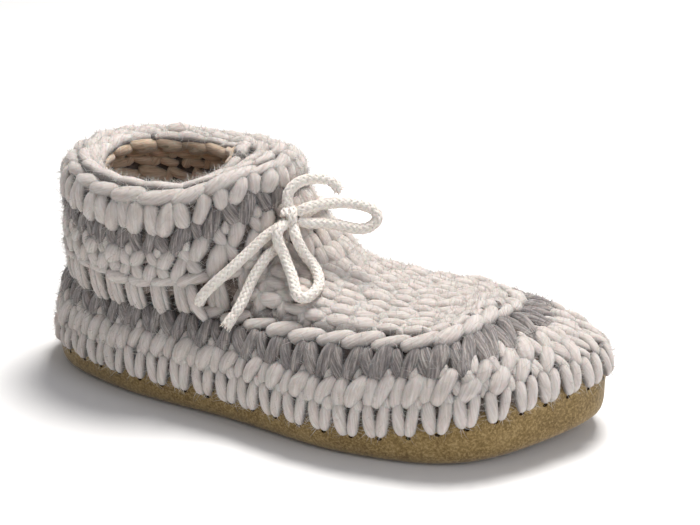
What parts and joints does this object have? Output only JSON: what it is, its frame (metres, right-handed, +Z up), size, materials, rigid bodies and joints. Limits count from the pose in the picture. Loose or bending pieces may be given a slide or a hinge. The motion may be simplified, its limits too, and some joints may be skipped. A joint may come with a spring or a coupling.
{
  "type": "slipper",
  "caption": "Ankle-high crocheted wool slipper for a right foot, with a soft turned-up suede sole, a rolled knitted collar and a cotton drawstring tied in a bow.",
  "frame": {"origin": "centre of the shoe's footprint on the floor, below the middle of its length and width", "axes": "+X from heel to toe, +Y towards the inner side of the foot, +Z up"},
  "size_m": [0.2544, 0.1052, 0.1043],
  "materials": {
    "suede": "napped tan suede",
    "insole_leather": "smooth matt leather",
    "wool": "soft fuzzy wool yarn, cream with grey marled rows",
    "cord": "braided matt cotton"
  },
  "bodies": {
    "root": {"sole": "suede", "insole": "insole_leather", "upper": "wool", "drawstring_outer": "cord", "drawstring_inner": "cord", "bow_loop_outer": "cord", "bow_loop_down": "cord", "bow_end_up": "cord", "bow_end_down": "cord", "bow_knot": "cord"}
  },
  "joints": []
}
